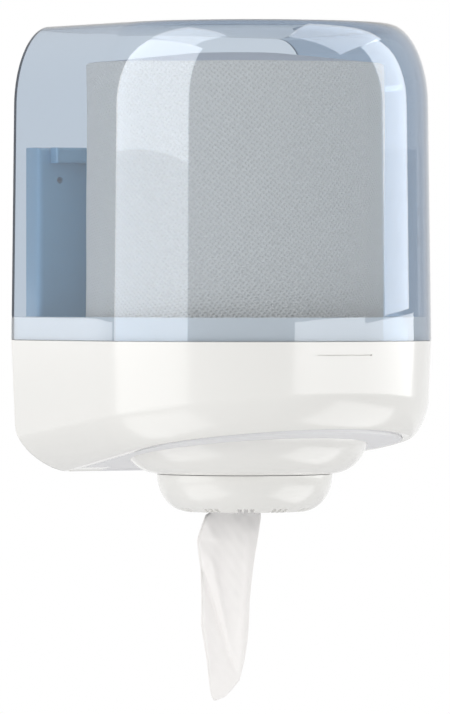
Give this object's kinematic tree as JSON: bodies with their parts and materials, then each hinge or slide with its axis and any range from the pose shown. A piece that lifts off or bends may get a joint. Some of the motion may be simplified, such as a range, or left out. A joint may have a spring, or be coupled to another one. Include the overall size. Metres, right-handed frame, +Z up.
{
  "type": "centrefeed roll dispenser",
  "caption": "Wall dispenser for a centrefeed paper roll: clear tilting hood on a white lower shell with a round nozzle and the paper's end hanging from it.",
  "frame": {"origin": "middle of the casing's pad on the wall face, on the dispenser's centre plane", "axes": "+Z up; the wall is the plane y = 0 and the dispenser stands out from it along -Y; +X is to the right seen from the front"},
  "size_m": [0.238, 0.235, 0.4528],
  "materials": {
    "white_gloss": "gloss",
    "grey_plastic": "satin",
    "blue_plastic": "satin",
    "clear_blue": "clear blue-grey polycarbonate",
    "steel": "zinc plated",
    "grip_rubber": "matt",
    "paper": "soft embossed tissue"
  },
  "bodies": {
    "wall_unit": {"rear_casing": "blue_plastic", "roll_stop_left": "blue_plastic", "roll_stop_right": "blue_plastic", "hinge_rod": "steel", "hinge_cap_left": "grey_plastic", "hinge_cap_right": "grey_plastic"},
    "lock": {"lock_barrel": "steel", "lock_cam": "steel", "lock_clip": "steel"},
    "front_unit": {"hood": "clear_blue", "lock_keeper": "steel", "base_shell": "white_gloss", "base_floor": "grey_plastic", "bowl": "white_gloss", "roll_tray": "grey_plastic", "tray_screw_1": "steel", "tray_screw_2": "steel", "tray_screw_3": "steel", "tray_screw_4": "steel", "funnel": "grey_plastic", "nozzle_collar": "grey_plastic", "collar_screw_1": "steel", "collar_screw_2": "steel", "collar_screw_3": "steel", "paper_roll": "paper", "paper_tail": "paper"},
    "nozzle": {"nozzle_cup": "white_gloss", "exit_star": "grip_rubber", "star_ring": "grey_plastic"}
  },
  "joints": [
    {"name": "front_tilt", "type": "hinge", "parent": "wall_unit", "child": "front_unit", "pos_m": [0, -0.0082, -0.1012], "axis": [1, 0, 0], "range_deg": [0, 55]},
    {"name": "lock_turn", "type": "hinge", "parent": "wall_unit", "child": "lock", "pos_m": [0.109, -0.0076, 0.048], "axis": [-1, 0, 0], "range_deg": [0, 90]},
    {"name": "nozzle_turn", "type": "hinge", "parent": "front_unit", "child": "nozzle", "pos_m": [0, -0.106, -0.12], "axis": [0, 0, 1], "range_deg": [0, 30]}
  ]
}
